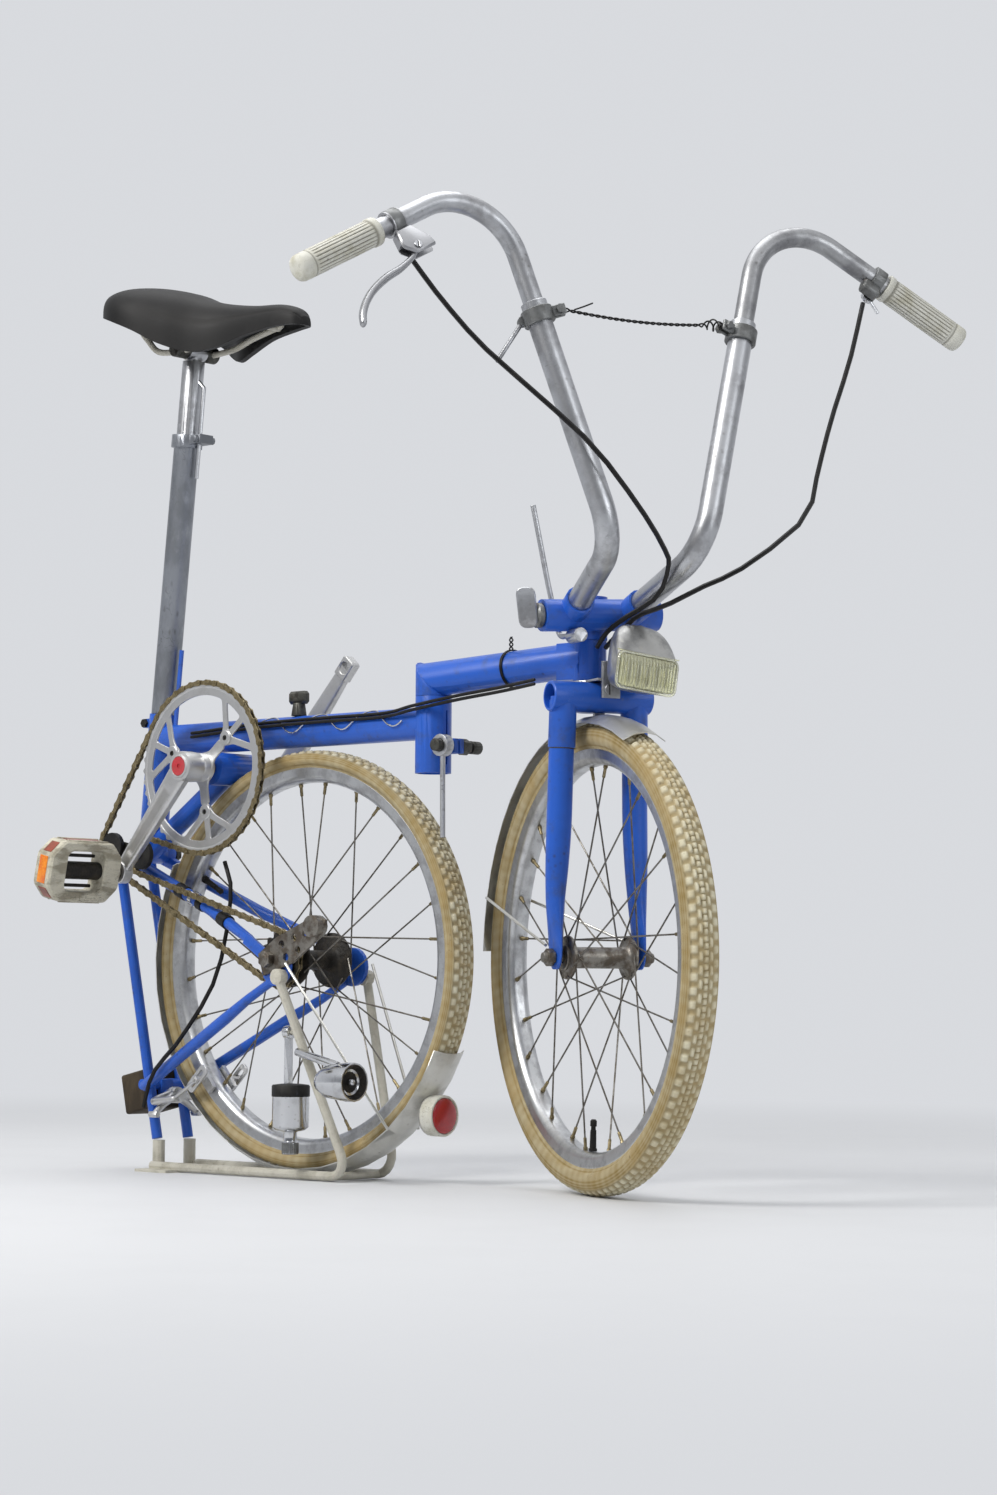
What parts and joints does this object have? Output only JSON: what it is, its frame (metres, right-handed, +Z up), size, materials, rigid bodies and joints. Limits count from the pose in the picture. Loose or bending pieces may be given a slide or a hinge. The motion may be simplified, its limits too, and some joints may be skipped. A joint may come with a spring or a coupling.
{
  "type": "folding bicycle",
  "caption": "Small-wheeled folding bike, shown folded with its rear wheel under the main tube, tall bars up, rack and front tyre on the floor.",
  "frame": {"origin": "middle of the underside of the flat plate under the rack, on the floor", "axes": "+X forward along the main tube, +Y to the rider's left, +Z up"},
  "size_m": [0.9418, 0.6869, 0.9905],
  "materials": {
    "aluminium": "dull, stained",
    "black_plastic": "matte",
    "black_rubber": "worn rubber",
    "black_saddle": "smooth black cover",
    "blue_paint": "glossy paint, chipped",
    "cable_black": "smooth sheath",
    "chain_steel": "oiled and tarnished",
    "chrome": "polished",
    "chrome_rim": "worn chrome",
    "cream_paint": "worn cream paint",
    "cream_plastic": "worn cream plastic",
    "cream_rubber": "hard ribbed rubber",
    "dark_steel": "dull steel",
    "guard_metal": "dull silver",
    "lamp_lens": "ribbed, yellowed",
    "lamp_shell": "silvered plastic, worn",
    "polished_alloy": "polished",
    "steel": "dull steel",
    "tyre_tan": "tan walls, pale cream tread"
  },
  "bodies": {
    "root": {"main_frame": "blue_paint", "hinge_clamp_screw": "dark_steel", "fold_axle_and_pulley_plate": "dark_steel", "chain_front": "chain_steel", "frame_cables": "cable_black"},
    "frame_knob": {"frame_knob": "black_plastic"},
    "hinge_tommy_bar": {"hinge_tommy_bar": "steel"},
    "front_section": {"front_frame": "blue_paint"},
    "steering": {"fork": "blue_paint", "stem": "blue_paint", "headlamp_bracket": "aluminium", "front_axle": "dark_steel", "front_guard": "guard_metal", "brake_cable": "cable_black", "shifter_cable": "cable_black"},
    "stem_lever": {"stem_lever": "aluminium"},
    "stem_tommy_bar": {"stem_tommy_bar": "steel"},
    "headlamp": {"headlamp_shell": "lamp_shell", "headlamp_lens": "lamp_lens"},
    "front_wheel": {"front_tyre": "tyre_tan", "front_rim": "chrome_rim", "front_hub_and_spokes": "dark_steel"},
    "right_bar": {"right_lower_bar": "aluminium"},
    "left_bar": {"left_lower_bar": "aluminium"},
    "right_bar_top": {"right_upper_bar": "aluminium", "right_grip": "cream_rubber", "brake_lever_mount": "polished_alloy"},
    "left_bar_top": {"left_upper_bar": "aluminium", "left_grip": "cream_rubber", "shifter_mount": "polished_alloy"},
    "brake_lever": {"brake_lever": "polished_alloy"},
    "shifter_trigger": {"shifter_trigger": "polished_alloy"},
    "crankset": {"chainring": "polished_alloy", "right_crank": "polished_alloy", "left_crank": "polished_alloy", "crank_spindle": "dark_steel", "pedal_axle": "dark_steel"},
    "pedal": {"pedal_body": "cream_plastic"},
    "upper_pulley": {"upper_pulley": "cream_plastic"},
    "lower_pulley": {"lower_pulley": "cream_plastic"},
    "sprocket": {"sprocket": "dark_steel"},
    "rear_section": {"rear_frame": "blue_paint", "bumper_block": "black_rubber", "rear_axle": "dark_steel", "rack": "cream_paint", "rear_guard_and_reflector": "guard_metal", "rear_lamp": "polished_alloy", "drilled_hub_arm": "aluminium", "chain_rear": "chain_steel", "rear_brake_cable": "cable_black"},
    "dynamo": {"dynamo": "chrome"},
    "right_brake_arm": {"right_brake_arm": "aluminium"},
    "left_brake_arm": {"left_brake_arm": "aluminium"},
    "rear_wheel": {"rear_tyre": "tyre_tan", "rear_rim": "chrome_rim", "rear_hub_and_spokes": "dark_steel"},
    "lower_post": {"lower_seat_post": "aluminium"},
    "upper_post": {"upper_seat_post": "aluminium"},
    "saddle": {"saddle": "black_saddle", "saddle_rails": "cream_paint"}
  },
  "joints": [
    {"name": "front_fold", "type": "hinge", "parent": "root", "child": "front_section", "pos_m": [0.366, 0, 0.46], "axis": [0, 0, 1], "range_deg": [-15, 45], "deforming": ["frame_cables"]},
    {"name": "steering", "type": "hinge", "parent": "front_section", "child": "steering", "pos_m": [0.578, 0, 0.49], "axis": [0, 0, 1], "range_deg": [-30, 6]},
    {"name": "front_wheel_spin", "type": "hinge", "parent": "steering", "child": "front_wheel", "pos_m": [0.59803, -0.00909, 0.233], "axis": [0.4131, 0.9107, 0], "continuous": true},
    {"name": "rear_fold", "type": "hinge", "parent": "root", "child": "rear_section", "pos_m": [-0.068, 0, 0.352], "axis": [0, 1, 0], "range_deg": [0, 170], "deforming": ["chain_rear", "rear_brake_cable"]},
    {"name": "rear_wheel_spin", "type": "hinge", "parent": "rear_section", "child": "rear_wheel", "pos_m": [0.1905, 0, 0.2315], "axis": [0, 1, 0], "continuous": true},
    {"name": "sprocket_spin", "type": "hinge", "parent": "rear_section", "child": "sprocket", "pos_m": [0.1905, -0.0465, 0.2315], "axis": [0, 1, 0], "continuous": true},
    {"name": "crank_spin", "type": "hinge", "parent": "root", "child": "crankset", "pos_m": [0.0655, 0, 0.44], "axis": [0, 1, 0], "continuous": true},
    {"name": "pedal_spin", "type": "hinge", "parent": "crankset", "child": "pedal", "pos_m": [-0.0337, -0.1355, 0.32748], "axis": [0, 1, 0], "continuous": true},
    {"name": "upper_pulley_spin", "type": "hinge", "parent": "root", "child": "upper_pulley", "pos_m": [-0.03, -0.0465, 0.347], "axis": [0, 1, 0], "continuous": true},
    {"name": "lower_pulley_spin", "type": "hinge", "parent": "root", "child": "lower_pulley", "pos_m": [-0.078, -0.0465, 0.357], "axis": [0, 1, 0], "continuous": true},
    {"name": "right_bar_fold", "type": "hinge", "parent": "steering", "child": "right_bar", "pos_m": [0.59595, -0.04273, 0.5772], "axis": [0.7866, -0.4952, 0.3688], "range_deg": [-100, 0], "deforming": ["brake_cable"]},
    {"name": "right_bar_slide", "type": "slide", "parent": "right_bar", "child": "right_bar_top", "axis": [-0.2739, -0.1694, 0.9467], "range_m": [-0.055, 0.06], "deforming": ["brake_cable"]},
    {"name": "left_bar_fold", "type": "hinge", "parent": "steering", "child": "left_bar", "pos_m": [0.62198, 0.01464, 0.5772], "axis": [0.8907, -0.2657, 0.3688], "range_deg": [0, 100], "deforming": ["shifter_cable", "brake_cable"]},
    {"name": "left_bar_slide", "type": "slide", "parent": "left_bar", "child": "left_bar_top", "axis": [-0.0529, 0.3177, 0.9467], "range_m": [-0.055, 0.06], "deforming": ["shifter_cable"]},
    {"name": "brake_squeeze", "type": "hinge", "parent": "right_bar_top", "child": "brake_lever", "pos_m": [0.59237, -0.27182, 0.89506], "axis": [0.7727, -0.435, 0.4623], "range_deg": [0, 12], "stiffness_Nm_per_rad": 0.6},
    {"name": "shifter_press", "type": "hinge", "parent": "left_bar_top", "child": "shifter_trigger", "pos_m": [0.7838, 0.19561, 0.90451], "axis": [-0.8691, 0.1911, -0.4563], "range_deg": [0, 20], "stiffness_Nm_per_rad": 0.05},
    {"name": "stem_lever_turn", "type": "hinge", "parent": "steering", "child": "stem_lever", "pos_m": [0.59803, -0.00909, 0.572], "axis": [0.4125, 0.9094, 0.0523], "range_deg": [0, 100]},
    {"name": "stem_bar_turn", "type": "hinge", "parent": "steering", "child": "stem_tommy_bar", "pos_m": [0.6015, -0.04745, 0.5484], "axis": [0.9107, -0.4131, 0], "range_deg": [-25, 40]},
    {"name": "hinge_bar_turn", "type": "hinge", "parent": "root", "child": "hinge_tommy_bar", "pos_m": [0.3955, 0, 0.4515], "axis": [0, 1, 0], "range_deg": [-90, 15]},
    {"name": "knob_turn", "type": "hinge", "parent": "root", "child": "frame_knob", "pos_m": [0.1675, 0, 0.49], "axis": [0, 0, 1], "continuous": true},
    {"name": "lower_post_slide", "type": "slide", "parent": "root", "child": "lower_post", "axis": [0.1044, 0, 0.9945], "range_m": [-0.045, 0.02]},
    {"name": "upper_post_slide", "type": "slide", "parent": "lower_post", "child": "upper_post", "axis": [0.1044, 0, 0.9945], "range_m": [-0.04, 0.03]},
    {"name": "saddle_tilt", "type": "hinge", "parent": "upper_post", "child": "saddle", "pos_m": [-0.00536, 0, 0.914], "axis": [0, 1, 0], "range_deg": [-5, 5]},
    {"name": "headlamp_turn", "type": "hinge", "parent": "steering", "child": "headlamp", "pos_m": [0.61772, -0.01362, 0.5], "axis": [0.9107, -0.4131, 0], "range_deg": [-8, 8]},
    {"name": "dynamo_turn", "type": "hinge", "parent": "rear_section", "child": "dynamo", "pos_m": [0.21, -0.052, 0.155], "axis": [1, 0, 0], "range_deg": [-3, 5]},
    {"name": "right_brake_arm_turn", "type": "hinge", "parent": "rear_section", "child": "right_brake_arm", "pos_m": [-0.019, -0.004, 0.0825], "axis": [1, 0, 0], "range_deg": [-2.5, 0.5]},
    {"name": "left_brake_arm_turn", "type": "hinge", "parent": "rear_section", "child": "left_brake_arm", "pos_m": [-0.013, -0.004, 0.0825], "axis": [1, 0, 0], "range_deg": [-0.5, 2.5]}
  ],
  "couplings": [
    {"joint": "sprocket_spin", "follows": "crank_spin", "ratio": 3.2857},
    {"joint": "upper_pulley_spin", "follows": "crank_spin", "ratio": -4.6},
    {"joint": "lower_pulley_spin", "follows": "crank_spin", "ratio": 4.6},
    {"joint": "right_brake_arm_turn", "follows": "brake_squeeze", "ratio": -0.15},
    {"joint": "left_brake_arm_turn", "follows": "brake_squeeze", "ratio": 0.15}
  ]
}
